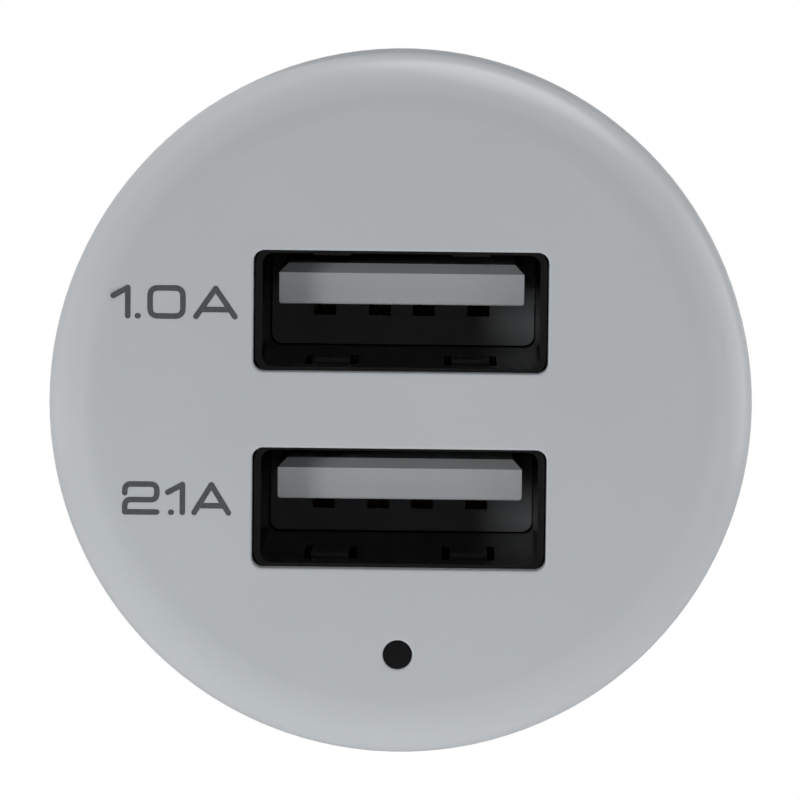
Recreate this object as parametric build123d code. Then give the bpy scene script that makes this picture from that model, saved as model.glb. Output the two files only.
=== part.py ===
"""Twin USB charging socket that plugs into a car's 12 volt accessory socket.

Millimetres. +Y runs along the plug to its tip, -Y out of the face, +Z up. The origin is on the
plug's axis, in the plane of the shoulder that meets the rim of the car's socket.
"""
import os
from math import cos, radians, sin, sqrt

from build123d import *

# Lengths that add up to the head, from the face back to the shoulder
PORT_LIP = 0.8  # face left standing in front of each receptacle
USB_CAVITY_DEPTH = 12.0  # mouth of a receptacle to the back wall of its cavity
USB_BLOCK = 1.6  # insulator behind that wall
BOARD_THICKNESS = 1.2
SPIGOT_LENGTH = 2.0  # collar of the plug body that snaps into the cap
FLANGE_THICKNESS = 5.0  # parting line to the shoulder

# Head form
HEAD_FRONT_RADIUS = 15.75
HEAD_CROWN = 0.25  # how far the side bulges past the front radius
HEAD_CROWN_DEPTH = 5.7  # face to the widest section
FACE_EDGE_RADIUS = 2.6
SHOULDER_RADIUS = 12.4
SHOULDER_EDGE_RADIUS = 0.5
CAP_FACE_WALL = 2.0
CAP_REAR_WALL = 1.6  # at the parting line, where the wall is thinnest
CAP_INNER_RADIUS = 1.0
SEAM_BEVEL = 0.2  # on both edges of the parting line
SNAP_CLEARANCE = 0.1
SNAP_HEIGHT = 0.3
SNAP_HALF_LENGTH = 0.55
SPIGOT_WALL = 1.6
FLANGE_POCKET = 1.5  # how far the spigot's bore runs past the parting line
RIB_THICKNESS = 1.4
RIB_LENGTH = 2.6
RIB_ANGLES = (40, 140, 220, 320)

# Receptacle openings in the face
PORT_PITCH = 8.88
PORT_MIDDLE_Z = -0.08
PORT_WIDTH = 13.23
PORT_HEIGHT = 5.46
PORT_CORNER = 0.5
PORT_EDGE_RADIUS = 0.12  # where the face turns into an opening
PORT_FRAME_WALL = 1.0
PORT_FRAME_DEPTH = 3.0
PORT_FRAME_CORNER = 1.2
SHELL_CLEARANCE = 0.08

# USB receptacles, to the usual A type sizes
USB_INNER_WIDTH = 12.5
USB_INNER_HEIGHT = 5.12
USB_SHELL_THICKNESS = 0.3
USB_SHELL_CORNER = 0.5
TONGUE_WIDTH = 11.1
TONGUE_THICKNESS = 1.84
TONGUE_GAP = 0.6  # tongue to the ceiling of the shell
TONGUE_RECESS = 2.1
TONGUE_TOP_BEVEL = 0.42  # lead-in along its front and both sides
TONGUE_LOWER_RADIUS = 0.15
CONTACT_OFFSETS = (-3.5, -1.0, 1.0, 3.5)
CONTACT_WIDTH = 1.0
CONTACT_THICKNESS = 0.25
CONTACT_DIP = 0.75
CONTACT_TIP_SETBACK = 0.9
CONTACT_BOW_LENGTH = 3.0
CONTACT_BOW_PLACE = 0.35  # lowest point, as a share of the bow's length
CONTACT_BEND = 0.4
GROOVE_CLEARANCE = 0.05
GROOVE_SETBACK = 0.6
FINGER_OFFSETS = (-3.15, 3.15)
FINGER_WIDTH = 1.7
FINGER_LENGTH = 4.6
FINGER_SLOT = 0.35
FINGER_DIP = 0.22
FINGER_SETBACK = 2.0
SHELL_LEG_WIDTH = 1.2
PIN_PROUD = 0.8  # legs and contact tails behind the front board
PIN_HOLE_CLEARANCE = 0.1

# Indicator
INDICATOR_INSET = 4.63  # its centre in from the head's edge
INDICATOR_HOLE_RADIUS = 0.66
LIGHT_PIPE_CLEARANCE = 0.05
LIGHT_PIPE_SHY = 0.12  # end of the rod behind the face
LIGHT_PIPE_BODY_RADIUS = 1.2
BOSS_WALL = 0.8
BOSS_LENGTH = 4.0
LED_WIDTH = 2.0
LED_HEIGHT = 1.25
LED_DEPTH = 0.8
LED_GAP = 0.1

# Plug barrel
BARREL_RADIUS = 10.4  # seat collar that fits the mouth of the car's socket
SEAT_LENGTH = 8.0
SHANK_RADIUS = 10.15
SHANK_END = 25.0
NOSE_LENGTH = 5.5
NOSE_RADIUS = 7.4
NECK_RADIUS = 6.2
NECK_LENGTH = 4.0
BARREL_WALL = 1.4
CAVITY_END = 24.5
SPRING_BORE_RADIUS = 4.7

# Nose ring, tip contact and its spring
RING_RADIUS = 7.2
RING_CLEARANCE = 0.05
RING_LIP = 1.5
RING_BEVEL = 0.5
RING_BAND = 1.1
FLUTE_COUNT = 24
FLUTE_RADIUS = 0.45
PIN_RADIUS = 2.9
PIN_CLEARANCE = 0.1
PIN_REACH = 4.6
PIN_DOME = 1.3
COLLAR_THICKNESS = 1.4
COLLAR_CLEARANCE = 0.1
STOP_GAP = 0.04
PILOT_RADIUS = 2.6
PILOT_LENGTH = 1.5
SPRING_LENGTH = 9.5
SPRING_RADIUS = 3.6
SPRING_WIRE_RADIUS = 0.35
SPRING_TURNS = 6
SPRING_END_GAP = 0.02
TERMINAL_RADIUS = 4.4
TERMINAL_THICKNESS = 0.5
TERMINAL_FOOT_WIDTH = 4.0
TERMINAL_FOOT_LENGTH = 2.2

# Side contacts and the windows that they look out of
STRIP_WIDTH = 4.6
STRIP_THICKNESS = 0.5
STRIP_PROUD = 1.2  # crest above the shank
STRIP_BEND = 4.0
STRIP_WALL_GAP = 0.3
STRIP_START = 2.5
STRIP_RISE = 10.0
STRIP_CREST_START = 14.0
STRIP_CREST_END = 17.5
STRIP_END = 22.0
STRIP_TURN_IN = 0.9
STRIP_FOOT_LENGTH = 3.0
STRIP_FOOT_REACH = 2.3
STRIP_LIFT = 0.1  # lower edge of the strip above the main board
SOLDER_GAP = 0.04
WINDOW_MARGIN = 0.35
WINDOW_CORNER = 0.7
WINDOW_END_MARGIN = 1.0

# Boards and the parts on them
BOARD_EDGE_CLEARANCE = 0.2
BOARD_TAB_WIDTH = 1.1
BOARD_TAB_OFFSETS = (-2.25, 2.25)  # between the tails of the lower receptacle
BOARD_SLOT_CLEARANCE = 0.05
LEDGE_HEIGHT = 1.0
LEDGE_WIDTH = 1.3
LEDGE_START = 1.0
INPUT_CAPACITOR_RADIUS = 4.0
INPUT_CAPACITOR_LENGTH = 11.5
INPUT_CAPACITOR_FRONT = 9.0
OUTPUT_CAPACITOR_RADIUS = 3.15
OUTPUT_CAPACITOR_HEIGHT = 7.0
CAPACITOR_ROLL = 0.35  # crimped groove round each can
CAPACITOR_LEAD_RADIUS = 0.3
CAPACITOR_LEAD_SPACING = 3.5
CAPACITOR_LEAD_REACH = 1.4
LEAD_PROUD = 0.6
COIL_OFFSET = 3.5
COIL_Y = -2.2
COIL_RADIUS = 3.3
COIL_HEIGHT = 5.5
COIL_FLANGE = 1.1
COIL_NECK_RADIUS = 1.9
WINDING_RADIUS = 2.9
CHIP_LENGTH = 4.9
CHIP_WIDTH = 3.9
CHIP_HEIGHT = 1.4
CHIP_STANDOFF = 0.15
CHIP_Y = 4.5
LEAD_PITCH = 1.27
LEAD_WIDTH = 0.42
LEAD_THICKNESS = 0.2
LEAD_SPAN = 1.05
LEADS_PER_SIDE = 4
DIODE_SIZE = (2.6, 4.3, 2.1)
DIODE_Y = 11.5
FUSE_SIZE = (3.2, 4.5, 0.8)
FUSE_Y = 17.5
CHIP_CAPACITOR_SIZE = (1.25, 2.0, 0.9)
CHIP_CAPACITOR_PLACES = ((-4.0, 9.5), (4.0, 9.5), (-4.0, 14.0), (4.0, 14.0))

# Planes along the plug, worked out from the lengths above
parting_y = -FLANGE_THICKNESS
spigot_y = parting_y - SPIGOT_LENGTH
front_board_y = spigot_y - BOARD_THICKNESS
cavity_back_y = front_board_y - USB_BLOCK
mouth_y = cavity_back_y - USB_CAVITY_DEPTH
face_y = mouth_y - PORT_LIP
face_back_y = face_y + CAP_FACE_WALL
tongue_y = mouth_y + TONGUE_RECESS
nose_end_y = SHANK_END + NOSE_LENGTH
neck_end_y = nose_end_y + NECK_LENGTH
ring_end_y = neck_end_y + RING_LIP
collar_y = neck_end_y - STOP_GAP - COLLAR_THICKNESS
spring_y = collar_y - SPRING_LENGTH
board_end_y = spring_y - TERMINAL_THICKNESS

# Radii and heights that follow from the ones above
crown_arc = (HEAD_CROWN_DEPTH**2 + HEAD_CROWN**2) / (2 * HEAD_CROWN)
crest_y = face_y + HEAD_CROWN_DEPTH
cavity_radius = SHANK_RADIUS - BARREL_WALL
shell_width = USB_INNER_WIDTH + 2 * USB_SHELL_THICKNESS
shell_height = USB_INNER_HEIGHT + 2 * USB_SHELL_THICKNESS
upper_z = PORT_MIDDLE_Z + PORT_PITCH / 2
lower_z = PORT_MIDDLE_Z - PORT_PITCH / 2
indicator_z = INDICATOR_INSET - HEAD_FRONT_RADIUS
tongue_top = USB_INNER_HEIGHT / 2 - TONGUE_GAP
tongue_bottom = tongue_top - TONGUE_THICKNESS
groove_depth = CONTACT_THICKNESS + 2 * GROOVE_CLEARANCE
contact_level = tongue_bottom + groove_depth / 2
light_pipe_radius = INDICATOR_HOLE_RADIUS - LIGHT_PIPE_CLEARANCE
boss_radius = LIGHT_PIPE_BODY_RADIUS + LIGHT_PIPE_CLEARANCE + BOSS_WALL
board_top = -STRIP_WIDTH / 2 - STRIP_LIFT
board_bottom = board_top - BOARD_THICKNESS
board_half_width = sqrt(cavity_radius**2 - board_bottom**2) - BOARD_EDGE_CLEARANCE
strip_x = sqrt(cavity_radius**2 - (STRIP_WIDTH / 2) ** 2) - STRIP_WALL_GAP - STRIP_THICKNESS / 2
crest_x = SHANK_RADIUS + STRIP_PROUD - STRIP_THICKNESS / 2
lead_hole = CAPACITOR_LEAD_RADIUS + PIN_HOLE_CLEARANCE


def side_radius(y):
    """Radius of the head's crowned side at a place along the plug."""
    drop = crown_arc - sqrt(crown_arc**2 - (y - crest_y) ** 2)
    return HEAD_FRONT_RADIUS + HEAD_CROWN - drop


def side_slope(y):
    """Direction of the head's side there, as a change in radius and in y."""
    return (crest_y - y, sqrt(crown_arc**2 - (y - crest_y) ** 2))


# Fits inside the head, taken from its radius where cap and plug body part
cap_bore = side_radius(parting_y) - CAP_REAR_WALL
spigot_radius = cap_bore - SNAP_CLEARANCE
spigot_bore = spigot_radius - SPIGOT_WALL


def block(x_span, y_span, z_span):
    """A box from its lowest and highest value along each axis."""
    spans = (x_span, y_span, z_span)
    size = [high - low for low, high in spans]
    middle = [(high + low) / 2 for low, high in spans]
    return Pos(*middle) * Box(*size)


def prism(outline, y_start, y_end):
    """Stretches an outline, drawn with x across and z up, from one y to another."""
    return extrude(Plane.XZ.offset(-y_start) * outline, amount=y_end - y_start, dir=(0, 1, 0))


def turned(lines):
    """Turns a half section, drawn with x as the radius, about the plug's axis."""
    return revolve(make_face(lines), Axis.Y)


def rod(radius, y_start, y_end, x=0, z=0):
    """A round rod along the plug."""
    return prism(Pos(x, z) * Circle(radius), y_start, y_end)


def wire_along(points, bend, section):
    """Sweeps a section along straight runs joined by tangent bends."""
    path = FilletPolyline(*points, radius=bend)
    start = Plane(origin=path @ 0, x_dir=(1, 0, 0), z_dir=path % 0)
    return sweep(start * section, path=path)


# Face cap: one moulding with the face, the soft edge, the side wall and all that locates the inside
def face_cap():
    seam_y = parting_y - SEAM_BEVEL
    snap_y = parting_y - SPIGOT_LENGTH / 2
    snap_half = SNAP_HALF_LENGTH + SNAP_CLEARANCE
    groove = cap_bore + SNAP_HEIGHT
    front = (HEAD_FRONT_RADIUS, face_y)
    widest = (HEAD_FRONT_RADIUS + HEAD_CROWN, crest_y)
    seam = (side_radius(seam_y), seam_y)
    inside = Polyline(
        seam,
        (side_radius(parting_y) - SEAM_BEVEL, parting_y),
        (cap_bore, parting_y),
        (cap_bore, snap_y + snap_half),
        (groove, snap_y),
        (cap_bore, snap_y - snap_half),
        (cap_bore, face_back_y),
        (0, face_back_y),
        (0, face_y),
        front,
    )
    section = make_face(inside + ThreePointArc(front, widest, seam))
    outer_corner = section.vertices().sort_by_distance((*front, 0))[0]
    section = fillet(outer_corner, FACE_EDGE_RADIUS)
    inner_corner = section.vertices().sort_by_distance((cap_bore, face_back_y, 0))[0]
    section = fillet(inner_corner, CAP_INNER_RADIUS)
    cap = revolve(section, Axis.Y)

    # Frame round both receptacles, behind the face
    frame_width = shell_width + 2 * (SHELL_CLEARANCE + PORT_FRAME_WALL)
    frame_height = PORT_PITCH + shell_height + 2 * (SHELL_CLEARANCE + PORT_FRAME_WALL)
    frame = Pos(0, PORT_MIDDLE_Z) * RectangleRounded(frame_width, frame_height, PORT_FRAME_CORNER)
    cap += prism(frame, face_back_y, face_back_y + PORT_FRAME_DEPTH)

    # Ribs that press the front board onto the plug body
    for angle in RIB_ANGLES:
        rib = block(
            (cap_bore - RIB_LENGTH, cap_bore + CAP_REAR_WALL / 3),
            (face_back_y, front_board_y),
            (-RIB_THICKNESS / 2, RIB_THICKNESS / 2),
        )
        cap += Rot(0, -angle, 0) * rib

    # Boss for the light pipe, then every opening
    cap += rod(boss_radius, face_back_y, face_back_y + BOSS_LENGTH, z=indicator_z)
    cap -= rod(INDICATOR_HOLE_RADIUS, face_y, face_back_y, z=indicator_z)
    pipe_bore = LIGHT_PIPE_BODY_RADIUS + LIGHT_PIPE_CLEARANCE
    cap -= rod(pipe_bore, face_back_y, face_back_y + BOSS_LENGTH, z=indicator_z)
    opening = RectangleRounded(PORT_WIDTH, PORT_HEIGHT, PORT_CORNER)
    pocket = Rectangle(shell_width + 2 * SHELL_CLEARANCE, shell_height + 2 * SHELL_CLEARANCE)
    for z in (upper_z, lower_z):
        cap -= prism(Pos(0, z) * opening, face_y, mouth_y)
        cap -= prism(Pos(0, z) * pocket, mouth_y, face_back_y + PORT_FRAME_DEPTH)
    face = cap.faces().filter_by(Axis.Y).sort_by(Axis.Y)[0]
    return fillet(face.inner_wires().edges(), PORT_EDGE_RADIUS)


# Plug body: one moulding with the snap spigot, the flange, the barrel, the nose and the neck
def plug_body():
    seam_y = parting_y + SEAM_BEVEL
    snap_y = parting_y - SPIGOT_LENGTH / 2
    bead = spigot_radius + SNAP_HEIGHT
    seam = (side_radius(seam_y), seam_y)
    shoulder = (SHOULDER_RADIUS, 0)
    shank = (SHANK_RADIUS, SHANK_END)
    nose = (NOSE_RADIUS, nose_end_y)
    lines = Polyline(
        nose,
        (NECK_RADIUS, nose_end_y),
        (NECK_RADIUS, neck_end_y),
        (SPRING_BORE_RADIUS, neck_end_y),
        (SPRING_BORE_RADIUS, CAVITY_END),
        (cavity_radius, CAVITY_END),
        (cavity_radius, parting_y + FLANGE_POCKET),
        (spigot_bore, parting_y + FLANGE_POCKET),
        (spigot_bore, spigot_y),
        (spigot_radius, spigot_y),
        (spigot_radius, snap_y - SNAP_HALF_LENGTH),
        (bead, snap_y),
        (spigot_radius, snap_y + SNAP_HALF_LENGTH),
        (spigot_radius, parting_y),
        (side_radius(parting_y) - SEAM_BEVEL, parting_y),
        seam,
    )
    lines += TangentArc(seam, shoulder, tangent=side_slope(seam_y))
    lines += Polyline(
        shoulder,
        (BARREL_RADIUS, 0),
        (BARREL_RADIUS, SEAT_LENGTH),
        (SHANK_RADIUS, SEAT_LENGTH + BARREL_RADIUS - SHANK_RADIUS),
        shank,
    )
    lines += TangentArc(shank, nose, tangent=(0, 1))
    section = make_face(lines)
    shoulder_corner = section.vertices().sort_by_distance((*shoulder, 0))[0]
    body = revolve(fillet(shoulder_corner, SHOULDER_EDGE_RADIUS), Axis.Y)

    # Ledges that carry the main board
    ledge_span = (board_half_width - LEDGE_WIDTH, SHANK_RADIUS)
    ledge = block(ledge_span, (LEDGE_START, CAVITY_END), (board_bottom - LEDGE_HEIGHT, board_bottom))
    ledge &= rod(cavity_radius + BARREL_WALL / 2, LEDGE_START, CAVITY_END)
    body += ledge
    body += mirror(ledge, Plane.YZ)

    # Windows for the side contacts
    window_start = STRIP_RISE - WINDOW_MARGIN
    window_end = STRIP_END + WINDOW_END_MARGIN
    window = RectangleRounded(window_end - window_start, STRIP_WIDTH + 2 * WINDOW_MARGIN, WINDOW_CORNER)
    window = Plane.YZ * Pos((window_start + window_end) / 2, 0) * window
    return body - extrude(window, 2 * SHANK_RADIUS, both=True)


# Nose ring: fluted ring on the neck, with an inner lip that keeps the tip contact in
def nose_ring():
    bore = NECK_RADIUS + RING_CLEARANCE
    hole = PIN_RADIUS + PIN_CLEARANCE
    ring = turned(
        Polyline(
            (bore, nose_end_y),
            (RING_RADIUS, nose_end_y),
            (RING_RADIUS, ring_end_y - RING_BEVEL),
            (RING_RADIUS - RING_BEVEL, ring_end_y),
            (hole, ring_end_y),
            (hole, neck_end_y),
            (bore, neck_end_y),
            close=True,
        )
    )
    for turn in range(FLUTE_COUNT):
        angle = radians(turn * 360 / FLUTE_COUNT)
        ring -= rod(
            FLUTE_RADIUS,
            nose_end_y + RING_BAND,
            ring_end_y,
            x=RING_RADIUS * cos(angle),
            z=RING_RADIUS * sin(angle),
        )
    return ring


# Tip contact: turned pin with a domed end, a collar behind the lip and a pilot inside the spring
def tip_contact():
    stop_y = collar_y + COLLAR_THICKNESS
    collar = SPRING_BORE_RADIUS - COLLAR_CLEARANCE
    tip_y = ring_end_y + PIN_REACH
    dome_y = tip_y - PIN_DOME
    lines = Polyline(
        (0, tip_y),
        (0, collar_y - PILOT_LENGTH),
        (PILOT_RADIUS, collar_y - PILOT_LENGTH),
        (PILOT_RADIUS, collar_y),
        (collar, collar_y),
        (collar, stop_y),
        (PIN_RADIUS, stop_y),
        (PIN_RADIUS, dome_y),
    )
    return turned(lines + TangentArc((0, tip_y), (PIN_RADIUS, dome_y), tangent=(1, 0)))


# Tip spring: steel coil between the spring seat and the collar
def tip_spring():
    end = SPRING_WIRE_RADIUS + SPRING_END_GAP
    rise = SPRING_LENGTH - 2 * end
    coil = Helix(rise / SPRING_TURNS, rise, SPRING_RADIUS, (0, spring_y + end, 0), (0, 1, 0))
    start = Plane(origin=coil @ 0, z_dir=coil % 0)
    return sweep(start * Circle(SPRING_WIRE_RADIUS), path=coil, is_frenet=True)


# Spring seat: disc that the spring stands on, with a foot soldered to the main board
def spring_seat():
    half_foot = TERMINAL_FOOT_WIDTH / 2
    foot = block(
        (-half_foot, half_foot),
        (board_end_y - TERMINAL_FOOT_LENGTH, spring_y),
        (board_top, board_top + TERMINAL_THICKNESS),
    )
    return rod(TERMINAL_RADIUS, board_end_y, spring_y) + foot


# Side contact: bent spring strip that stands out of its window, with a foot on the main board
def side_contact():
    points = (
        (strip_x, STRIP_START),
        (strip_x, STRIP_RISE),
        (crest_x, STRIP_CREST_START),
        (crest_x, STRIP_CREST_END),
        (strip_x, STRIP_END - STRIP_TURN_IN),
        (strip_x, STRIP_END),
    )
    bends = (STRIP_BEND, STRIP_BEND, STRIP_BEND, STRIP_TURN_IN)
    strip = wire_along(points, bends, Rectangle(STRIP_THICKNESS, STRIP_WIDTH))
    foot = block(
        (strip_x - STRIP_FOOT_REACH, strip_x),
        (STRIP_START, STRIP_START + STRIP_FOOT_LENGTH),
        (board_top + SOLDER_GAP, board_top + STRIP_LIFT + STRIP_THICKNESS / 2),
    )
    return strip + foot


# Receptacle shell: folded sheet with spring fingers cut from its floor and ceiling, and two legs
def usb_shell(z):
    outer_corner = USB_SHELL_CORNER + USB_SHELL_THICKNESS
    outer = RectangleRounded(shell_width, shell_height, outer_corner)
    inner = RectangleRounded(USB_INNER_WIDTH, USB_INNER_HEIGHT, USB_SHELL_CORNER)
    shell = prism(outer - inner, mouth_y, front_board_y)

    finger_front = mouth_y + FINGER_SETBACK
    finger_root = finger_front + FINGER_LENGTH
    floor_low = -shell_height / 2
    floor_high = -USB_INNER_HEIGHT / 2
    slot_half = FINGER_WIDTH / 2 + FINGER_SLOT
    for x in FINGER_OFFSETS:
        shell -= block(
            (x - slot_half, x + slot_half),
            (finger_front - FINGER_SLOT, finger_root),
            (floor_low * 2, floor_high * -2),
        )
        side = Polyline(
            (finger_front, floor_low + FINGER_DIP),
            (finger_front, floor_high + FINGER_DIP),
            (finger_root, floor_high),
            (finger_root + FINGER_SLOT, floor_high),
            (finger_root + FINGER_SLOT, floor_low),
            (finger_root, floor_low),
            close=True,
        )
        finger = extrude(Plane.YZ.offset(x) * make_face(side), FINGER_WIDTH / 2, both=True)
        shell += finger
        shell += mirror(finger, Plane.XY)

    leg_half = SHELL_LEG_WIDTH / 2
    leg = block(
        (USB_INNER_WIDTH / 2, shell_width / 2),
        (front_board_y - USB_SHELL_THICKNESS, spigot_y + PIN_PROUD),
        (-leg_half, leg_half),
    )
    shell += leg
    shell += mirror(leg, Plane.YZ)
    return Pos(0, 0, z) * shell


# Receptacle insulator: tongue and rear block in one moulding, with a groove for each contact
def usb_insulator(z):
    gap = 2 * GROOVE_CLEARANCE
    back = RectangleRounded(USB_INNER_WIDTH - gap, USB_INNER_HEIGHT - gap, USB_SHELL_CORNER)
    insulator = prism(back, cavity_back_y, front_board_y)

    tongue = block(
        (-TONGUE_WIDTH / 2, TONGUE_WIDTH / 2),
        (tongue_y, cavity_back_y + USB_BLOCK / 2),
        (tongue_bottom, tongue_top),
    )
    upper = tongue.faces().sort_by(Axis.Z)[-1]
    tongue = chamfer(upper.edges().sort_by(Axis.Y)[:3], TONGUE_TOP_BEVEL)
    lower = tongue.faces().sort_by(Axis.Z)[0]
    tongue = fillet(lower.edges().sort_by(Axis.Y)[:3], TONGUE_LOWER_RADIUS)
    insulator += tongue

    groove_half = CONTACT_WIDTH / 2 + GROOVE_CLEARANCE
    for x in CONTACT_OFFSETS:
        insulator -= block(
            (x - groove_half, x + groove_half),
            (tongue_y + GROOVE_SETBACK, front_board_y),
            (tongue_bottom, tongue_bottom + groove_depth),
        )
    return Pos(0, 0, z) * insulator


# Receptacle contacts: four strips that bow out below the tongue and end in tails through the board
def usb_contacts(z):
    tip_y = tongue_y + CONTACT_TIP_SETBACK
    level = z + contact_level
    contacts = []
    for x in CONTACT_OFFSETS:
        points = (
            (x, tip_y, level),
            (x, tip_y + CONTACT_BOW_LENGTH * CONTACT_BOW_PLACE, level - CONTACT_DIP),
            (x, tip_y + CONTACT_BOW_LENGTH, level),
            (x, spigot_y + PIN_PROUD, level),
        )
        contacts.append(wire_along(points, CONTACT_BEND, Rectangle(CONTACT_WIDTH, CONTACT_THICKNESS)))
    return Compound(children=contacts)


# Front board: round board with holes for the receptacles' pins and slots for the main board's tabs
def front_board():
    board = rod(cap_bore - BOARD_EDGE_CLEARANCE, front_board_y, spigot_y)
    span = (front_board_y, spigot_y)
    contact_half = CONTACT_WIDTH / 2 + PIN_HOLE_CLEARANCE
    contact_rise = CONTACT_THICKNESS / 2 + PIN_HOLE_CLEARANCE
    leg_half = SHELL_LEG_WIDTH / 2 + PIN_HOLE_CLEARANCE
    leg_span = (USB_INNER_WIDTH / 2 - PIN_HOLE_CLEARANCE, shell_width / 2 + PIN_HOLE_CLEARANCE)
    for z in (upper_z, lower_z):
        level = z + contact_level
        for x in CONTACT_OFFSETS:
            tail = (x - contact_half, x + contact_half)
            board -= block(tail, span, (level - contact_rise, level + contact_rise))
        leg = block(leg_span, span, (z - leg_half, z + leg_half))
        board -= leg
        board -= mirror(leg, Plane.YZ)
    tab_half = BOARD_TAB_WIDTH / 2 + BOARD_SLOT_CLEARANCE
    slot_rise = (board_bottom - BOARD_SLOT_CLEARANCE, board_top + BOARD_SLOT_CLEARANCE)
    for x in BOARD_TAB_OFFSETS:
        board -= block((x - tab_half, x + tab_half), span, slot_rise)
    return board


# Main board: lies on the ledges of the barrel, with two tabs through the front board
def main_board():
    thickness = (board_bottom, board_top)
    board = block((-board_half_width, board_half_width), (spigot_y, board_end_y), thickness)
    half_tab = BOARD_TAB_WIDTH / 2
    for x in BOARD_TAB_OFFSETS:
        board += block((x - half_tab, x + half_tab), (front_board_y, spigot_y), thickness)
    for x in (-CAPACITOR_LEAD_SPACING / 2, CAPACITOR_LEAD_SPACING / 2):
        hole_y = INPUT_CAPACITOR_FRONT - CAPACITOR_LEAD_REACH
        board -= Pos(x, hole_y, (board_top + board_bottom) / 2) * Cylinder(lead_hole, 2 * BOARD_THICKNESS)
    return board


# Light pipe: stepped rod of dark tinted plastic, pressed into the boss behind the face
def light_pipe():
    rear_y = front_board_y - LED_DEPTH - LED_GAP
    pipe = rod(light_pipe_radius, face_y + LIGHT_PIPE_SHY, rear_y, z=indicator_z)
    return pipe + rod(LIGHT_PIPE_BODY_RADIUS, face_back_y, rear_y, z=indicator_z)


# Indicator: surface mounted lamp on the front board
def indicator_led():
    return block(
        (-LED_WIDTH / 2, LED_WIDTH / 2),
        (front_board_y - LED_DEPTH, front_board_y),
        (indicator_z - LED_HEIGHT / 2, indicator_z + LED_HEIGHT / 2),
    )


# Inductor: ferrite drum standing on the main board, and the copper wound between its flanges
def inductor_core():
    low = Pos(0, 0, COIL_FLANGE / 2) * Cylinder(COIL_RADIUS, COIL_FLANGE)
    high = Pos(0, 0, COIL_HEIGHT - COIL_FLANGE / 2) * Cylinder(COIL_RADIUS, COIL_FLANGE)
    neck = Pos(0, 0, COIL_HEIGHT / 2) * Cylinder(COIL_NECK_RADIUS, COIL_HEIGHT)
    return Pos(COIL_OFFSET, COIL_Y, board_top) * (low + high + neck)


def inductor_winding():
    length = COIL_HEIGHT - 2 * COIL_FLANGE
    coil = Cylinder(WINDING_RADIUS, length) - Cylinder(COIL_NECK_RADIUS, length)
    return Pos(COIL_OFFSET, COIL_Y, board_top + COIL_HEIGHT / 2) * coil


# Electrolytic capacitors: one lying in the barrel, one standing beside the inductor
def capacitor_can(radius, length):
    """A can along +Z with a crimped groove near its open end."""
    section = make_face(
        Polyline(
            (0, 0),
            (radius - CAPACITOR_ROLL, 0),
            (radius, CAPACITOR_ROLL),
            (radius, 3 * CAPACITOR_ROLL),
            (radius - CAPACITOR_ROLL, 4 * CAPACITOR_ROLL),
            (radius, 5 * CAPACITOR_ROLL),
            (radius, length - CAPACITOR_ROLL),
            (radius - CAPACITOR_ROLL, length),
            (0, length),
            close=True,
        )
    )
    return revolve(Plane.XZ * section, Axis.Z)


def input_capacitor():
    level = board_top + INPUT_CAPACITOR_RADIUS
    can = capacitor_can(INPUT_CAPACITOR_RADIUS, INPUT_CAPACITOR_LENGTH)
    can = Pos(0, INPUT_CAPACITOR_FRONT, level) * Rot(-90, 0, 0) * can
    bend_y = INPUT_CAPACITOR_FRONT - CAPACITOR_LEAD_REACH
    for x in (-CAPACITOR_LEAD_SPACING / 2, CAPACITOR_LEAD_SPACING / 2):
        points = (
            (x, INPUT_CAPACITOR_FRONT + CAPACITOR_ROLL, level),
            (x, bend_y, level),
            (x, bend_y, board_bottom - LEAD_PROUD),
        )
        can += wire_along(points, 2 * CAPACITOR_LEAD_RADIUS, Circle(CAPACITOR_LEAD_RADIUS))
    return can


def output_capacitor():
    can = capacitor_can(OUTPUT_CAPACITOR_RADIUS, OUTPUT_CAPACITOR_HEIGHT)
    return Pos(-COIL_OFFSET, COIL_Y, board_top) * can


# Converter chip: moulded body below the main board, and its bent leads
def converter_chip():
    high = board_bottom - CHIP_STANDOFF
    return block(
        (-CHIP_WIDTH / 2, CHIP_WIDTH / 2),
        (CHIP_Y - CHIP_LENGTH / 2, CHIP_Y + CHIP_LENGTH / 2),
        (high - CHIP_HEIGHT, high),
    )


def converter_chip_leads():
    side = CHIP_WIDTH / 2
    knee = side + LEAD_SPAN / 2
    middle = board_bottom - CHIP_STANDOFF - CHIP_HEIGHT / 2
    outline = Polyline(
        (side, middle),
        (side, middle + LEAD_THICKNESS),
        (knee - LEAD_THICKNESS, middle + LEAD_THICKNESS),
        (knee - LEAD_THICKNESS, board_bottom),
        (side + LEAD_SPAN, board_bottom),
        (side + LEAD_SPAN, board_bottom - LEAD_THICKNESS),
        (knee, board_bottom - LEAD_THICKNESS),
        (knee, middle),
        close=True,
    )
    leads = []
    for place in range(LEADS_PER_SIDE):
        y = CHIP_Y + (place - (LEADS_PER_SIDE - 1) / 2) * LEAD_PITCH
        lead = prism(make_face(outline), y - LEAD_WIDTH / 2, y + LEAD_WIDTH / 2)
        leads += [lead, mirror(lead, Plane.YZ)]
    return Compound(children=leads)


# Small parts below the main board
def board_part(size, x, y):
    """A small block soldered below the main board."""
    width, length, height = size
    return Pos(x, y, board_bottom - height / 2) * Box(width, length, height)


def chip_capacitors():
    return Compound(children=[board_part(CHIP_CAPACITOR_SIZE, x, y) for x, y in CHIP_CAPACITOR_PLACES])


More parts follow.
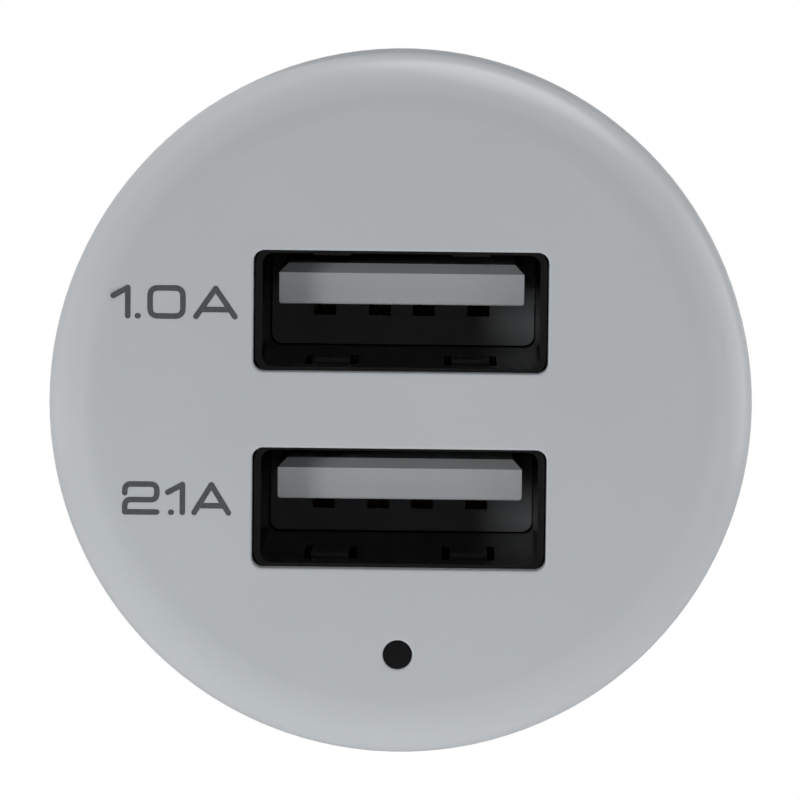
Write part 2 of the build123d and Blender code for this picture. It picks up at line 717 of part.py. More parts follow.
right_contact = side_contact()
pieces = {
    "face_cap": face_cap(),
    "plug_body": plug_body(),
    "nose_ring": nose_ring(),
    "tip_contact": tip_contact(),
    "tip_spring": tip_spring(),
    "spring_seat": spring_seat(),
    "right_side_contact": right_contact,
    "left_side_contact": mirror(right_contact, Plane.YZ),
    "front_board": front_board(),
    "main_board": main_board(),
    "light_pipe": light_pipe(),
    "indicator_led": indicator_led(),
    "inductor_core": inductor_core(),
    "inductor_winding": inductor_winding(),
    "input_capacitor": input_capacitor(),
    "output_capacitor": output_capacitor(),
    "converter_chip": converter_chip(),
    "converter_chip_leads": converter_chip_leads(),
    "rectifier_diode": board_part(DIODE_SIZE, 0, DIODE_Y),
    "resettable_fuse": board_part(FUSE_SIZE, 0, FUSE_Y),
    "chip_capacitors": chip_capacitors(),
}
for place, z in (("upper", upper_z), ("lower", lower_z)):
    pieces[f"{place}_usb_shell"] = usb_shell(z)
    pieces[f"{place}_usb_insulator"] = usb_insulator(z)
    pieces[f"{place}_usb_contacts"] = usb_contacts(z)

os.makedirs("parts", exist_ok=True)
for name, piece in pieces.items():
    export_step(piece, f"parts/{name}.step")
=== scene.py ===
"""Twin USB charging socket for a car's 12 volt outlet: finishes, spring, printing, studio and camera.

Metres. +Y runs along the plug to its tip, -Y out of the face, +Z up.
"""

from math import cos, pi, radians, sin

import bmesh
import bpy
from mathutils import Matrix, Vector


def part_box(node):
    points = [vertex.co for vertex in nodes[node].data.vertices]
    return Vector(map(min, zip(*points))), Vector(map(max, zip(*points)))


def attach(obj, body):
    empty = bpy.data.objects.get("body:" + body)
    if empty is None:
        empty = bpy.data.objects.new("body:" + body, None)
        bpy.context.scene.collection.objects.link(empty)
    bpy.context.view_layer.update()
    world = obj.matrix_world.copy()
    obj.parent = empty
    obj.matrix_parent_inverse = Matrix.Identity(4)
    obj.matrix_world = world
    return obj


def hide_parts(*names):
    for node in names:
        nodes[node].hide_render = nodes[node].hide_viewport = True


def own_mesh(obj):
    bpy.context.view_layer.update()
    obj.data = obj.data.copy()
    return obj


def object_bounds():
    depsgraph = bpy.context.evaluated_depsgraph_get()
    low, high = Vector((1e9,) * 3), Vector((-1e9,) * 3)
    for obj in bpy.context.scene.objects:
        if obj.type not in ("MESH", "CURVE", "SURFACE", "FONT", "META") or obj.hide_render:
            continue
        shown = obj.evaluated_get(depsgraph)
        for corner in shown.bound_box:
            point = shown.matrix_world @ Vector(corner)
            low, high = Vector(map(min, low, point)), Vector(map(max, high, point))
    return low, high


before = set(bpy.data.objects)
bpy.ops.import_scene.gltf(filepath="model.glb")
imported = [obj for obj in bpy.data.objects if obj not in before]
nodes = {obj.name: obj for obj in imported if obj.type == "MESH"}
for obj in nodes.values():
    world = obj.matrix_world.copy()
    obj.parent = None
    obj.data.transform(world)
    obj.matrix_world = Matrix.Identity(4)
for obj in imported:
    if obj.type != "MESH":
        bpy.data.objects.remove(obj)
cad_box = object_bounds()


# Main board: glass fibre sheet under green lacquer, with copper tracks between the two. It lies on
# ledges in the barrel, and two tabs at its front end are soldered through the front board.
TRACK_SCALE = 260.0  # steps of the track pattern to the metre; the next three sizes are in such steps
TRACK_LENGTH = 0.9
TRACK_WIDTH = 0.34
TRACK_GAP = 0.014
TRACK_HEIGHT = 2e-5
LACQUERED = 0.5  # a surface that faces up or down at least this squarely is lacquered


def colour(red, green, blue):
    """A colour as the eye sees it, 0 to 255, in the linear values that a shader takes."""
    shares = [value / 255 for value in (red, green, blue)]
    return [v / 12.92 if v < 0.04 else ((v + 0.055) / 1.055) ** 2.4 for v in shares] + [1.0]


def new_finish(name, roughness, metallic=0.0, base=(128, 128, 128)):
    """A finish with a plain shader."""
    finish = bpy.data.materials.new(name)
    finish.use_nodes = True
    shader = finish.node_tree.nodes["Principled BSDF"]
    shader.inputs["Roughness"].default_value = roughness
    shader.inputs["Metallic"].default_value = metallic
    shader.inputs["Base Color"].default_value = colour(*base)
    return finish


def add(finish, kind, inputs, **settings):
    """Adds a node to a finish. Each input is a plain value or another node's output."""
    made = finish.node_tree.nodes.new(f"ShaderNode{kind}")
    for setting, value in settings.items():
        setattr(made, setting, value)
    for socket, value in inputs.items():
        if isinstance(value, bpy.types.NodeSocket):
            finish.node_tree.links.new(value, made.inputs[socket])
        else:
            made.inputs[socket].default_value = value
    return made


def feed(finish, **sources):
    """Joins outputs to the shader's colour, roughness or normal."""
    sockets = {"colour": "Base Color", "roughness": "Roughness", "normal": "Normal"}
    shader = finish.node_tree.nodes["Principled BSDF"]
    for name, output in sources.items():
        finish.node_tree.links.new(output, shader.inputs[sockets[name]])


def points(finish, stretch=(1, 1, 1), turn=(0, 0, 0)):
    """Places on the piece, in metres, stretched and turned to suit a pattern."""
    place = add(finish, "TexCoord", {}).outputs["Object"]
    inputs = {"Vector": place, "Scale": stretch, "Rotation": turn}
    return add(finish, "Mapping", inputs).outputs["Vector"]


def clouds(finish, per_metre, detail=2.0, **lay):
    """Soft irregular shading, 0 to 1, with so many clouds to the metre."""
    inputs = {"Vector": points(finish, **lay), "Scale": per_metre, "Detail": detail}
    return add(finish, "TexNoise", inputs).outputs["Fac"]


def tint(finish, share, *stops):
    """Colours for shares from 0 to 1, given as pairs of a share and a colour."""
    ramp = add(finish, "ValToRGB", {"Fac": share})
    marks = ramp.color_ramp.elements
    for mark, (place, seen) in zip(marks, stops):
        mark.position = place
        mark.color = colour(*seen)
    return ramp.outputs["Color"]


def spread(finish, share, low, high):
    """Carries shares from 0 to 1 over to numbers from low to high."""
    return add(finish, "MapRange", {"Value": share, "To Min": low, "To Max": high}).outputs["Result"]


def relief(finish, height, depth):
    """Raises a surface by shares of a depth in metres."""
    return add(finish, "Bump", {"Height": height, "Distance": depth}).outputs["Normal"]


def cover(finish, *names):
    """Gives pieces of the frame their finish."""
    for name in names:
        for place in nodes[name].material_slots:
            place.material = finish


def board_finish(name, turn):
    """Green lacquer with the tracks standing up under it, and bare glass fibre at the edges."""
    finish = new_finish(name, roughness=0.34)
    inputs = {"Vector": points(finish, turn=turn), "Scale": TRACK_SCALE, "Mortar Size": TRACK_GAP}
    inputs |= {"Brick Width": TRACK_LENGTH, "Row Height": TRACK_WIDTH}
    inputs |= {"Color1": colour(30, 92, 58), "Color2": colour(26, 84, 52), "Mortar": colour(16, 58, 36)}
    tracks = add(finish, "TexBrick", inputs)
    facing = add(finish, "TexCoord", {}).outputs["Normal"]
    facing = add(finish, "Mapping", {"Vector": facing, "Rotation": turn}).outputs["Vector"]
    level = add(finish, "SeparateXYZ", {"Vector": facing}).outputs["Z"]
    level = add(finish, "Math", {0: level}, operation="ABSOLUTE").outputs["Value"]
    flat = add(finish, "Math", {0: level, 1: LACQUERED}, operation="GREATER_THAN").outputs["Value"]
    threads = clouds(finish, 9000, stretch=(1, 1, 6))
    fibre = tint(finish, threads, (0.3, (150, 132, 82)), (0.7, (186, 170, 118)))
    seen = add(finish, "MixRGB", {"Fac": flat, "Color1": fibre, "Color2": tracks.outputs["Color"]})
    raised = add(finish, "Math", {0: 1.0, 1: tracks.outputs["Fac"]}, operation="SUBTRACT")
    feed(
        finish,
        colour=seen.outputs["Color"],
        normal=relief(finish, raised.outputs["Value"], TRACK_HEIGHT),
    )
    return finish


cover(board_finish("main_board_lacquer", turn=(0, 0, 0)), "main_board")


# Inductor: pressed ferrite drum with enamelled copper wound between its two flanges. It stands on
# the main board, and dull grey speckle is all that its sintered surface shows.
WIRE_TURN = 0.0003  # thickness of the winding wire with its enamel
WAVE_RADIANS = 20  # a wave pattern of scale 1 runs through so many radians in a metre


def speckled(name, roughness, per_metre, dark, light, depth):
    """A gritty, unpolished body such as ferrite, ceramic or moulded resin."""
    finish = new_finish(name, roughness)
    grit = clouds(finish, per_metre, detail=4.0)
    feed(
        finish,
        colour=tint(finish, grit, (0.35, dark), (0.68, light)),
        normal=relief(finish, grit, depth),
    )
    return finish


cover(speckled("ferrite_body", 0.72, 7000, (30, 30, 32), (66, 66, 70), 8e-6), "inductor_core")

winding_copper = new_finish("winding_copper", roughness=0.28, metallic=1.0)
wave_scale = 2 * pi / (WAVE_RADIANS * WIRE_TURN)
inputs = {"Vector": points(winding_copper), "Scale": wave_scale, "Distortion": 0.4}
turns = add(winding_copper, "TexWave", inputs, bands_direction="Z").outputs["Fac"]
feed(
    winding_copper,
    colour=tint(winding_copper, turns, (0.1, (92, 40, 20)), (0.8, (206, 118, 72))),
    normal=relief(winding_copper, turns, 1.2e-4),
)
cover(winding_copper, "inductor_winding")


# Capacitors: rolled foil in an aluminium can under a shrunk dark sleeve with one pale stripe. One lies
# in the barrel on bent leads, the other stands beside the inductor. Their far ends are bare aluminium.
SQUARELY = 0.9  # a surface that faces a direction at least this squarely belongs to it


def capacitor_finish(name, end, stripe):
    """A shrunk sleeve; end points out of the bare end of the can, and stripe out of the marked side."""
    finish = new_finish(name, roughness=0.3)
    facing = add(finish, "TexCoord", {}).outputs["Normal"]
    shares = []
    for direction in (end, stripe):
        product = add(finish, "VectorMath", {0: facing, 1: direction}, operation="DOT_PRODUCT")
        inputs = {0: product.outputs["Value"], 1: SQUARELY}
        shares.append(add(finish, "Math", inputs, operation="GREATER_THAN").outputs["Value"])
    on_end, on_stripe = shares
    sleeve = tint(finish, clouds(finish, 900), (0.3, (24, 27, 44)), (0.7, (34, 38, 58)))
    marked = add(finish, "MixRGB", {"Fac": on_stripe, "Color1": sleeve, "Color2": colour(186, 190, 196)})
    inputs = {"Fac": on_end, "Color1": marked.outputs["Color"], "Color2": colour(196, 197, 198)}
    feed(
        finish,
        colour=add(finish, "MixRGB", inputs).outputs["Color"],
        normal=relief(finish, clouds(finish, 1600), 1.5e-5),
    )
    return finish


cover(capacitor_finish("lying_capacitor_sleeve", (0, 1, 0), (1, 0, 0)), "input_capacitor")
cover(capacitor_finish("standing_capacitor_sleeve", (0, 0, 1), (0, -1, 0)), "output_capacitor")


# Small parts below the board: moulded converter and diode, four fired ceramic chips and a polymer fuse.
# All are soldered flat to the board, and the tinned ends and leads carry the current.
def tinned(name, roughness):
    """Solder or tin plating: bright metal, dulled unevenly."""
    finish = new_finish(name, roughness, metallic=1.0)
    streaks = clouds(finish, 1500, detail=5.0)
    feed(
        finish,
        colour=tint(finish, streaks, (0.3, (176, 176, 172)), (0.7, (214, 213, 209))),
        roughness=spread(finish, streaks, roughness - 0.08, roughness + 0.1),
        normal=relief(finish, streaks, 3e-6),
    )
    return finish


def tinned_ends(name, dark, light, middle, pitch, half_body):
    """A chip along Y whose ends are dipped in solder; pitch is the step from one chip to the next."""
    finish = speckled(name, 0.5, 6000, dark, light, 4e-6)
    body = finish.node_tree.nodes["Principled BSDF"].inputs["Base Color"].links[0].from_socket
    along = add(finish, "SeparateXYZ", {"Vector": points(finish)}).outputs["Y"]
    along = add(finish, "Math", {0: along, 1: middle}, operation="SUBTRACT").outputs["Value"]
    limits = {1: pitch / 2, 2: -pitch / 2}
    along = add(finish, "Math", {0: along} | limits, operation="WRAP").outputs["Value"]
    along = add(finish, "Math", {0: along}, operation="ABSOLUTE").outputs["Value"]
    end = add(finish, "Math", {0: along, 1: half_body}, operation="GREATER_THAN").outputs["Value"]
    inputs = {"Fac": end, "Color1": body, "Color2": colour(192, 192, 190)}
    feed(finish, colour=add(finish, "MixRGB", inputs).outputs["Color"])
    return finish


cover(speckled("chip_resin", 0.62, 5200, (30, 30, 32), (46, 46, 49), 5e-6), "converter_chip")
cover(tinned("chip_lead_tin", 0.3), "converter_chip_leads")
cover(
    tinned_ends("diode_resin", (28, 28, 30), (44, 44, 46), middle=0.0115, pitch=0.02, half_body=0.0018),
    "rectifier_diode",
)
cover(
    tinned_ends(
        "chip_ceramic", (160, 128, 92), (186, 154, 116), middle=0.0095, pitch=0.0045, half_body=0.0007
    ),
    "chip_capacitors",
)
cover(
    tinned_ends("fuse_polymer", (40, 104, 74), (56, 126, 92), middle=0.0175, pitch=0.02, half_body=0.0017),
    "resettable_fuse",
)


# Front board: round board of the same sheet, clamped between the plug body and the ribs of the cap.
# It carries both receptacles and the indicator lamp, a white case with yellow phosphor in its middle.
cover(board_finish("front_board_lacquer", turn=(pi / 2, 0, 0)), "front_board")

MILLIMETRES = 1000.0
lamp_low, lamp_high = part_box("indicator_led")
lamp_case = new_finish("lamp_case", roughness=0.25)
inputs = {0: points(lamp_case), 1: (lamp_low + lamp_high) / 2}
from_middle = add(lamp_case, "VectorMath", inputs, operation="DISTANCE").outputs["Value"]
phosphor = spread(lamp_case, from_middle, 0.0, MILLIMETRES)
feed(
    lamp_case,
    colour=tint(lamp_case, phosphor, (0.5, (226, 206, 92)), (0.62, (232, 232, 226))),
    normal=relief(lamp_case, clouds(lamp_case, 5000), 2e-6),
)
cover(lamp_case, "indicator_led")


# USB receptacles: folded sheet shells coloured near black, a painted shade that makes the openings look
# dark. Inside each is a grey glass filled moulding with the tongue, and four plated strips run under the
# tongue.
# Near-black shell colour: painted shade standing in for the shade inside the openings.
shell_black = new_finish("shell_black", roughness=0.18)
rolled = clouds(shell_black, 2400, detail=4.0, stretch=(1, 0.12, 1))
feed(
    shell_black,
    colour=tint(shell_black, rolled, (0.3, (9, 9, 10)), (0.7, (15, 15, 16))),
    roughness=spread(shell_black, rolled, 0.14, 0.24),
    normal=relief(shell_black, rolled, 2e-6),
)


def moulded(name, dark, light, roughness, grain, waviness):
    """Injection moulded plastic: even colour, a fine grain and faint flow waves in its gloss."""
    finish = new_finish(name, roughness)
    flow = clouds(finish, 90, detail=3.0)
    fine = clouds(finish, 11000)
    waves = clouds(finish, 420, detail=1.0)
    wavy = relief(finish, waves, waviness)
    grained = add(finish, "Bump", {"Height": fine, "Distance": grain, "Normal": wavy}).outputs["Normal"]
    feed(
        finish,
        colour=tint(finish, flow, (0.3, dark), (0.7, light)),
        roughness=spread(finish, fine, roughness - 0.04, roughness + 0.04),
        normal=grained,
    )
    return finish


tongue_grey = moulded("tongue_grey", (172, 175, 178), (180, 183, 186), 0.55, 3e-6, 4e-6)

contact_gold = new_finish("contact_gold", roughness=0.26, metallic=1.0)
drawn = clouds(contact_gold, 3000, detail=4.0, stretch=(1, 0.08, 1))
feed(
    contact_gold,
    colour=tint(contact_gold, drawn, (0.3, (168, 136, 80)), (0.7, (202, 172, 112))),
    roughness=spread(contact_gold, drawn, 0.2, 0.36),
    normal=relief(contact_gold, drawn, 2e-6),
)

for place in ("upper", "lower"):
    cover(shell_black, f"{place}_usb_shell")
    cover(tongue_grey, f"{place}_usb_insulator")
    cover(contact_gold, f"{place}_usb_contacts")


# Light pipe: stepped rod of dark tinted plastic, pressed into its boss behind the face. Its polished end
# lies a little behind the face, so that it reads as a small dark dot.
smoked_lens = new_finish("smoked_lens", roughness=0.12)
haze = clouds(smoked_lens, 2600, detail=5.0)
feed(
    smoked_lens,
    colour=tint(smoked_lens, haze, (0.3, (5, 6, 7)), (0.7, (9, 10, 11))),
    roughness=spread(smoked_lens, haze, 0.08, 0.2),
)
cover(smoked_lens, "light_pipe")


# Plug body: one moulding of light grey plastic with flange, barrel, nose and neck. The cap snaps over its
# spigot, and the barrel has a satin finish from the spark eroded mould.
plug_plastic = moulded("plug_plastic", (168, 172, 175), (172, 176, 179), 0.42, 6e-6, 3e-6)
cover(plug_plastic, "plug_body")


# Spring seat and tip spring: tinned terminal soldered to the end of the main board, and a coil of hard
# drawn steel wire that stands on it. The end turns lie close, and the coil shortens as the tip goes in.
WIRE_RADIUS = 0.00035
WIRE_SIDES = 12
COIL_RADIUS = 0.0036
COIL_TURNS = 6
STEPS_PER_TURN = 40
CLOSE_ENDS = 0.045  # share of the coil's rise by which the end turns draw together

cover(tinned("terminal_tin", 0.3), "spring_seat")

coil_low, coil_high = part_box("tip_spring")
coil_length = coil_high.y - coil_low.y
rise = coil_length - 2 * WIRE_RADIUS
steps = COIL_TURNS * STEPS_PER_TURN
wire_corners = []
for step in range(steps + 1):
    share = step / steps
    eased = share - CLOSE_ENDS * sin(2 * pi * share)
    angle = 2 * pi * COIL_TURNS * share
    outward = Vector((cos(angle), 0, -sin(angle)))
    centre = outward * COIL_RADIUS + Vector((0, coil_low.y + WIRE_RADIUS + rise * eased, 0))
    for side in range(WIRE_SIDES):
        around = 2 * pi * side / WIRE_SIDES
        wire_corners.append(centre + WIRE_RADIUS * (outward * cos(around) + Vector((0, 1, 0)) * sin(around)))

wire_faces = []
for step in range(steps):
    here = step * WIRE_SIDES
    there = here + WIRE_SIDES
    for side in range(WIRE_SIDES):
        after = (side + 1) % WIRE_SIDES
        wire_faces.append((here + side, here + after, there + after, there + side))
wire_faces.append(tuple(reversed(range(WIRE_SIDES))))
wire_faces.append(tuple(range(steps * WIRE_SIDES, (steps + 1) * WIRE_SIDES)))


def new_piece(name, corners, faces, finish, smooth):
    """A piece of its own; corners at one place become one, and its faces turn outwards."""
    shape = bmesh.new()
    made_corners = [shape.verts.new(corner) for corner in corners]
    for face in faces:
        shape.faces.new([made_corners[corner] for corner in face])
    bmesh.ops.remove_doubles(shape, verts=shape.verts, dist=1e-8)
    bmesh.ops.recalc_face_normals(shape, faces=shape.faces)
    mesh = bpy.data.meshes.new(name)
    shape.to_mesh(mesh)
    shape.free()
    mesh.polygons.foreach_set("use_smooth", [smooth] * len(mesh.polygons))
    mesh.materials.append(finish)
    made = bpy.data.objects.new(name, mesh)
    bpy.context.scene.collection.objects.link(made)
    return made


spring_steel = new_finish("spring_steel", roughness=0.32, metallic=1.0)
die_marks = clouds(spring_steel, 4000, detail=4.0)
feed(
    spring_steel,
    colour=tint(spring_steel, die_marks, (0.3, (138, 138, 136)), (0.7, (176, 176, 174))),
    roughness=spread(spring_steel, die_marks, 0.24, 0.42),
)
coil = new_piece("tip_spring_coil", wire_corners, wire_faces, spring_steel, smooth=True)
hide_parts("tip_spring")
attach(coil, "charger")
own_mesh(coil)


# Tip contact and nose ring: brass, turned on a lathe and nickel plated, so fine rings run round both.
# The ring presses onto the neck, and its inner lip keeps the sliding pin in.
SMOOTH_CENTRE = 0.0005  # the rings flatten out this near to the axis


def turned_nickel(name, rings_per_metre):
    """Bright nickel over fine turning marks that run round the plug's axis."""
    finish = new_finish(name, roughness=0.18, metallic=1.0)
    across = points(finish, stretch=(1, 0, 1))
    inputs = {0: across, 1: (0, SMOOTH_CENTRE, 0)}
    across = add(finish, "VectorMath", inputs, operation="ADD").outputs["Vector"]
    radius = add(finish, "VectorMath", {0: across}, operation="LENGTH").outputs["Value"]
    along = add(finish, "SeparateXYZ", {"Vector": points(finish)}).outputs["Y"]
    ring = add(finish, "CombineXYZ", {"X": radius, "Y": along}).outputs["Vector"]
    inputs = {"Vector": ring, "Scale": rings_per_metre, "Detail": 3.0}
    marks = add(finish, "TexNoise", inputs).outputs["Fac"]
    stain = clouds(finish, 500, detail=3.0)
    feed(
        finish,
        colour=tint(finish, stain, (0.3, (198, 194, 186)), (0.7, (214, 211, 204))),
        roughness=spread(finish, marks, 0.1, 0.3),
        normal=relief(finish, marks, 1.5e-6),
    )
    return finish


cover(turned_nickel("tip_nickel", 9000), "tip_contact")
# The dome's shading meets in one point at its middle, and weighted normals even it out.
nodes["tip_contact"].modifiers.new("even_dome", "WEIGHTED_NORMAL").keep_sharp = True
cover(turned_nickel("ring_nickel", 7000), "nose_ring")


# Side contacts: spring strip, punched, bent and nickel plated, with a foot soldered to the main board.
# Their crests rub in the car's outlet, so the plating is drawn along the plug.
strip_nickel = new_finish("strip_nickel", roughness=0.24, metallic=1.0)
draw_marks = clouds(strip_nickel, 5000, detail=4.0, stretch=(1, 0.03, 1))
stain = clouds(strip_nickel, 600, detail=3.0)
feed(
    strip_nickel,
    colour=tint(strip_nickel, stain, (0.3, (190, 187, 180)), (0.7, (208, 206, 200))),
    roughness=spread(strip_nickel, draw_marks, 0.14, 0.36),
    normal=relief(strip_nickel, draw_marks, 2e-6),
)
cover(strip_nickel, "right_side_contact", "left_side_contact")


# Face cap: the piece that is seen, one glossy light grey moulding with the face, the soft edge, the
# crowned side and the two openings. It snaps onto the plug body.
cap_plastic = moulded("cap_plastic", (169, 173, 176), (172, 176, 179), 0.3, 1.2e-6, 2e-6)
cover(cap_plastic, "face_cap")


# Current ratings: plain numbers, pad printed in grey ink left of each opening, in one stroke width.
# The ink film is a hundredth of a millimetre thick and lies on the face.
INK_WIDTH = 0.00025
INK_FILM = 0.00001
INK_SUNK = 0.00001  # back of the film inside the face, so that no gap shows
INK_OVERLAP = 0.0000004  # a later stroke lies on an earlier one
FIGURE_HEIGHT = 0.00126  # middle of the lowest stroke to the middle of the highest
ROUND_STEPS = 6
GENTLE_BEND = 0.85  # runs that are at least this nearly in line meet without a round corner
face_y = cad_box[0].y

printing_ink = new_finish("printing_ink", roughness=0.5)
speck = clouds(printing_ink, 9000, detail=3.0)
feed(
    printing_ink,
    colour=tint(printing_ink, speck, (0.3, (62, 66, 69)), (0.7, (74, 78, 81))),
    normal=relief(printing_ink, speck, 2e-6),
)


def stroke_edges(line, closed):
    """Pairs of places on both edges of a stroke, with round ends and round outer corners."""
    half = INK_WIDTH / 2
    line = [Vector(place) for place in line]
    runs = [(after - before).normalized() for before, after in zip(line, line[1:] + line[:1])]
    asides = [Vector((-run.y, run.x)) for run in runs]
    shares = [step / ROUND_STEPS for step in range(ROUND_STEPS + 1)]
    last = len(line) - 1
    edges = []
    for at, here in enumerate(line):
        if not closed and at in (0, last):
            run = runs[0] * -1 if at == 0 else runs[last - 1]
            aside = asides[0] if at == 0 else asides[last - 1]
            for share in shares if at == 0 else reversed(shares):
                middle = here + run * half * cos(share * pi / 2)
                offset = aside * half * sin(share * pi / 2)
                edges.append((middle + offset, middle - offset))
            continue
        mean = (asides[at - 1] + asides[at]).normalized()
        mitre = mean * half / mean.dot(asides[at])
        if runs[at - 1].dot(runs[at]) > GENTLE_BEND:
            edges.append((here + mitre, here - mitre))
            continue
        bend = 1 if runs[at - 1].cross(runs[at]) > 0 else -1
        for share in shares:
            outer = here - bend * half * asides[at - 1].slerp(asides[at], share)
            edges.append((here + mitre, outer) if bend > 0 else (outer, here - mitre))
    return edges


def print_strokes(name, strokes):
    """One printed piece from its strokes, each a line and whether it closes on itself."""
    corners = []
    faces = []
    for layer, (line, closed) in enumerate(strokes):
        edges = stroke_edges(line, closed)
        start = len(corners)
        top_y = face_y - INK_FILM - layer * INK_OVERLAP
        for left, right in edges:
            for flat in (left, right):
                corners.append((flat.x, top_y, flat.y))
                corners.append((flat.x, face_y + INK_SUNK, flat.y))
        count = len(edges)
        for at in range(count if closed else count - 1):
            here = start + 4 * at
            there = start + 4 * ((at + 1) % count)
            faces += [(here, there, there + 2, here + 2), (here + 1, here + 3, there + 3, there + 1)]
            faces += [(here, here + 1, there + 1, there), (here + 2, there + 2, there + 3, here + 3)]
    made = new_piece(name, corners, faces, printing_ink, smooth=False)
    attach(made, "charger")


def rounded(line, radius, corners):
    """The same line with the corners that are named rounded off."""
    result = []
    for at, place in enumerate(line):
        here = Vector(place)
        if at not in corners:
            result.append(here)
            continue
        back = (Vector(line[at - 1]) - here).normalized() * radius
        on = (Vector(line[(at + 1) % len(line)]) - here).normalized() * radius
        for step in range(ROUND_STEPS + 1):
            share = step / ROUND_STEPS
            result.append(here + back * (1 - share) ** 2 + on * share**2)
    return result


FLAG_REACH = 0.00066
FLAG_DROP = 0.00036


def figure_one(x, z):
    """A one with a short flag; x is its upright and z its foot."""
    top = z + FIGURE_HEIGHT
    return [([(x - FLAG_REACH, top - FLAG_DROP), (x, top), (x, z)], False)]


ZERO_CORNER = 0.00036


def figure_zero(x, z, width):
    """A nought, nearly a rounded square."""
    top = z + FIGURE_HEIGHT
    line = [(x, z), (x + width, z), (x + width, top), (x, top)]
    return [(rounded(line, ZERO_CORNER, range(4)), True)]


TWO_CORNER = 0.00029
TWO_LIP = 0.0004  # how far its first end hangs down
TWO_MIDDLE = 0.44  # height of its middle stroke, as a share of the figure's


def figure_two(x, z, width):
    """A two with squared bends and a sharp heel."""
    top = z + FIGURE_HEIGHT
    middle = z + FIGURE_HEIGHT * TWO_MIDDLE
    line = [
        (x, top - TWO_LIP),
        (x, top),
        (x + width, top),
        (x + width, middle),
        (x, middle),
        (x, z),
        (x + width, z),
    ]
    return [(rounded(line, TWO_CORNER, range(1, 5)), False)]


BAR_SHARE = 0.25  # height of its bar, as a share of the letter's


def letter_a(x, z, width):
    """A capital A with spread legs and a low bar; x is its left foot."""
    top = z + FIGURE_HEIGHT
    bar = z + FIGURE_HEIGHT * BAR_SHARE
    lean = width / 2 * BAR_SHARE
    legs = [(x, z), (x + width / 2, top), (x + width, z)]
    return [(legs, False), ([(x + lean, bar), (x + width - lean, bar)], False)]


POINT_REACH = INK_WIDTH * 0.06  # half of the stroke that its round ends turn into a dot


def full_point(x, z):
    """A full point, hardly longer than its stroke is wide."""
    return [([(x - POINT_REACH, z), (x + POINT_REACH, z)], False)]


def rating(name, foot, figures):
    """Prints one rating; each figure is a drawing function, its place across the face, and its width."""
    strokes = []
    for draw, x, *width in figures:
        strokes += draw(x, foot, *width)
    print_strokes(name, strokes)


rating(
    "upper_rating",
    foot=0.00408,
    figures=[
        (figure_one, -0.01223),
        (full_point, -0.01178),
        (figure_zero, -0.01123, 0.00147),
        (letter_a, -0.00917, 0.00174),
    ],
)
rating(
    "lower_rating",
    foot=-0.00476,
    figures=[
        (figure_two, -0.01232, 0.00144),
        (full_point, -0.01024),
        (figure_one, -0.00973),
        (letter_a, -0.0092, 0.00154),
    ],
)


# Studio: a pale floor well below the object that fades to white at its edge, in a white room. Soft lamps
# stand left, below, above and right, and the glossy cap mirrors four grey cards. Those in front and
# above shade it too.
FLOOR_Z = -0.042
FLOOR_Y = 0.01
FLOOR_RADIUS = 0.12
FLOOR_SIDES = 128
FADE_START = 0.5 * FLOOR_RADIUS
FADE_END = 0.98 * FLOOR_RADIUS
MIDDLE_WHITE = 0.62  # share of plain white in the floor's middle; the rest takes shadows
WHITE = (1.0, 1.0, 1.0, 1.0)

bpy.ops.mesh.primitive_circle_add(
    vertices=FLOOR_SIDES,
    radius=FLOOR_RADIUS,
    fill_type="NGON",
    location=(0, FLOOR_Y, FLOOR_Z),
)
floor = bpy.context.object
floor.name = "floor"
floor.visible_shadow = False

floor_pale = bpy.data.materials.new("floor_pale")
floor_pale.use_nodes = True
floor_pale.node_tree.nodes.remove(floor_pale.node_tree.nodes["Principled BSDF"])
matt = add(floor_pale, "BsdfDiffuse", {"Color": (0.9, 0.9, 0.9, 1.0)})
white = add(floor_pale, "Emission", {"Color": WHITE, "Strength": 1.0})


def seen_directly(finish):
    """1 for rays from the camera, from a mirror or through glass, otherwise 0."""
    path = add(finish, "LightPath", {})
    inputs = {0: path.outputs["Is Camera Ray"], 1: path.outputs["Is Glossy Ray"]}
    either = add(finish, "Math", inputs, operation="MAXIMUM").outputs["Value"]
    inputs = {0: either, 1: path.outputs["Is Transmission Ray"]}
    return add(finish, "Math", inputs, operation="MAXIMUM").outputs["Value"]


away = add(floor_pale, "VectorMath", {0: points(floor_pale)}, operation="LENGTH").outputs["Value"]
inputs = {"Value": away, "From Min": FADE_START, "From Max": FADE_END, "To Min": MIDDLE_WHITE, "To Max": 1.0}
fade = add(floor_pale, "MapRange", inputs, interpolation_type="SMOOTHSTEP")
inputs = {0: fade.outputs["Result"], 1: seen_directly(floor_pale)}
share = add(floor_pale, "Math", inputs, operation="MULTIPLY").outputs["Value"]
ground = add(floor_pale, "MixShader", {0: share, 1: matt.outputs["BSDF"], 2: white.outputs["Emission"]})
floor_out = floor_pale.node_tree.nodes["Material Output"]
floor_pale.node_tree.links.new(ground.outputs["Shader"], floor_out.inputs["Surface"])
floor.data.materials.append(floor_pale)

room = bpy.data.worlds.new("room")
room.use_nodes = True
bpy.context.scene.world = room
room_light = room.node_tree.nodes["Background"]
room_light.inputs["Strength"].default_value = 0.935
room_light.inputs["Color"].default_value = WHITE
backdrop = add(room, "Background", {"Color": WHITE, "Strength": 1.0})
inputs = {0: seen_directly(room), 1: room_light.outputs["Background"], 2: backdrop.outputs["Background"]}
sky = add(room, "MixShader", inputs)
room.node_tree.links.new(sky.outputs["Shader"], room.node_tree.nodes["World Output"].inputs["Surface"])


def soft_lamp(name, place, size, power):
    """A square soft box that looks at the face."""
    data = bpy.data.lights.new(name, "AREA")
    data.size = size
    data.energy = power
    lamp = bpy.data.objects.new(name, data)
    lamp.location = place
    lamp.rotation_euler = (Vector((0, face_y, 0)) - Vector(place)).to_track_quat("-Z", "Y").to_euler()
    lamp.visible_camera = False
    bpy.context.scene.collection.objects.link(lamp)
    return lamp


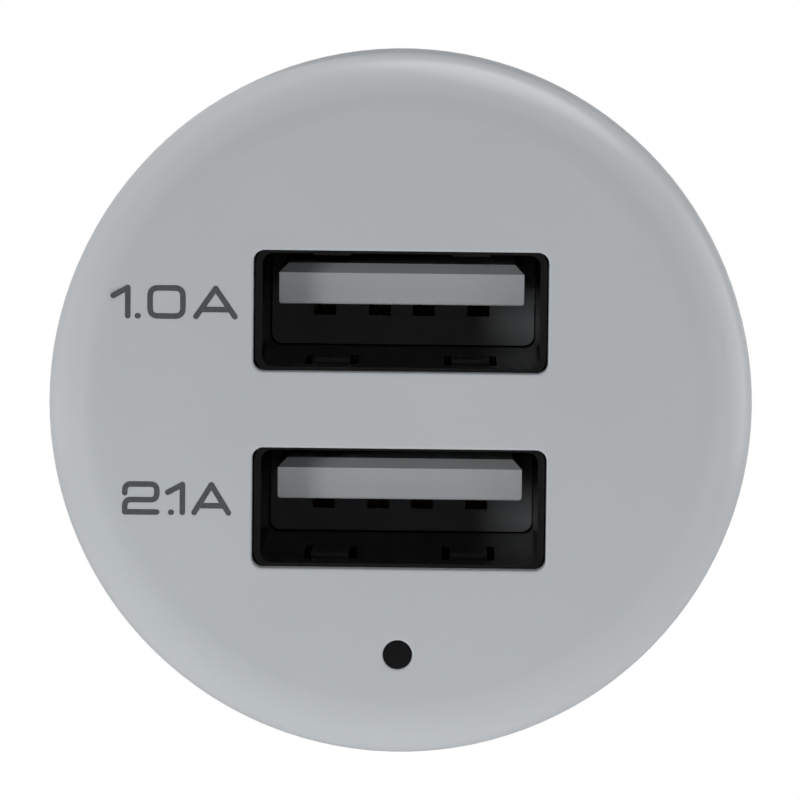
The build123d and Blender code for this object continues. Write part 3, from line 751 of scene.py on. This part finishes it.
left_lamp = soft_lamp("left_soft_box", place=(-0.19, face_y - 0.19, 0.006), size=0.05, power=0.18)
table_lamp = soft_lamp("table_lamp", place=(0, face_y - 0.12, -0.17), size=0.12, power=0.2)
for lamp in (left_lamp, table_lamp):
    lamp.visible_glossy = False
soft_lamp("top_soft_box", place=(0.085, 0.03, 0.25), size=0.21, power=0.29)
soft_lamp("right_soft_box", place=(0.25, 0.03, 0.03), size=0.2, power=0.1)


def studio_card(name, grey, place, width, height):
    """A matt card across the plug's axis that the camera doesn't see."""
    finish = new_finish(f"{name}_paper", roughness=0.9, base=(grey, grey, grey + 1))
    feed(finish, normal=relief(finish, clouds(finish, 300), 1e-4))
    corners = [(x * width / 2, 0, z * height / 2) for x, z in ((-1, -1), (1, -1), (1, 1), (-1, 1))]
    card = new_piece(name, corners, [(0, 1, 2, 3)], finish, smooth=False)
    card.location = place
    card.visible_camera = False
    return card


studio_card("front_card", 105, place=(0, face_y - 0.26, 0), width=0.46, height=0.4)
studio_card("upper_card", 40, place=(0.09, 0.12, 0.1425), width=0.22, height=0.235)
rear_card = studio_card("rear_card", 200, place=(0, 0.31, 0), width=1.0, height=1.0)
lower_card = studio_card("lower_card", 150, place=(0, 0.03, -0.036), width=0.3, height=0.2)
lower_card.rotation_euler = (pi / 2, 0, 0)  # it lies flat, just above the floor
for card in (rear_card, lower_card):
    card.visible_diffuse = False
    card.visible_shadow = False

bpy.context.scene.view_settings.view_transform = "Standard"


# Camera: nearly square to the face, a little above it and to its right, and rolled by a hair. Its long
# lens keeps the face round and the openings nearly parallel.
CAMERA_DISTANCE = 0.22
CAMERA_LENS = 220.9  # millimetres, as is the sensor
CAMERA_SENSOR = 36.0
AIM_ABOVE = 0.000423  # from the middle of the face up to the middle of the picture
turn = radians(0.5)
lift = radians(5.46)
roll = radians(0.6)
aim = Vector((0, face_y, AIM_ABOVE))
gaze = Vector((-sin(turn) * cos(lift), cos(turn) * cos(lift), -sin(lift)))
level = Vector((cos(turn), sin(turn), 0))
upright = level.cross(gaze)
right = level * cos(roll) + upright * sin(roll)
top = upright * cos(roll) - level * sin(roll)
lens = bpy.data.cameras.new("camera")
lens.sensor_width = CAMERA_SENSOR
lens.lens = CAMERA_LENS
lens.clip_start = 0.01
camera = bpy.data.objects.new("camera", lens)
stand = Matrix.Translation(aim - gaze * CAMERA_DISTANCE)
camera.matrix_world = stand @ Matrix((right, top, -gaze)).transposed().to_4x4()
bpy.context.scene.collection.objects.link(camera)
bpy.context.scene.camera = camera
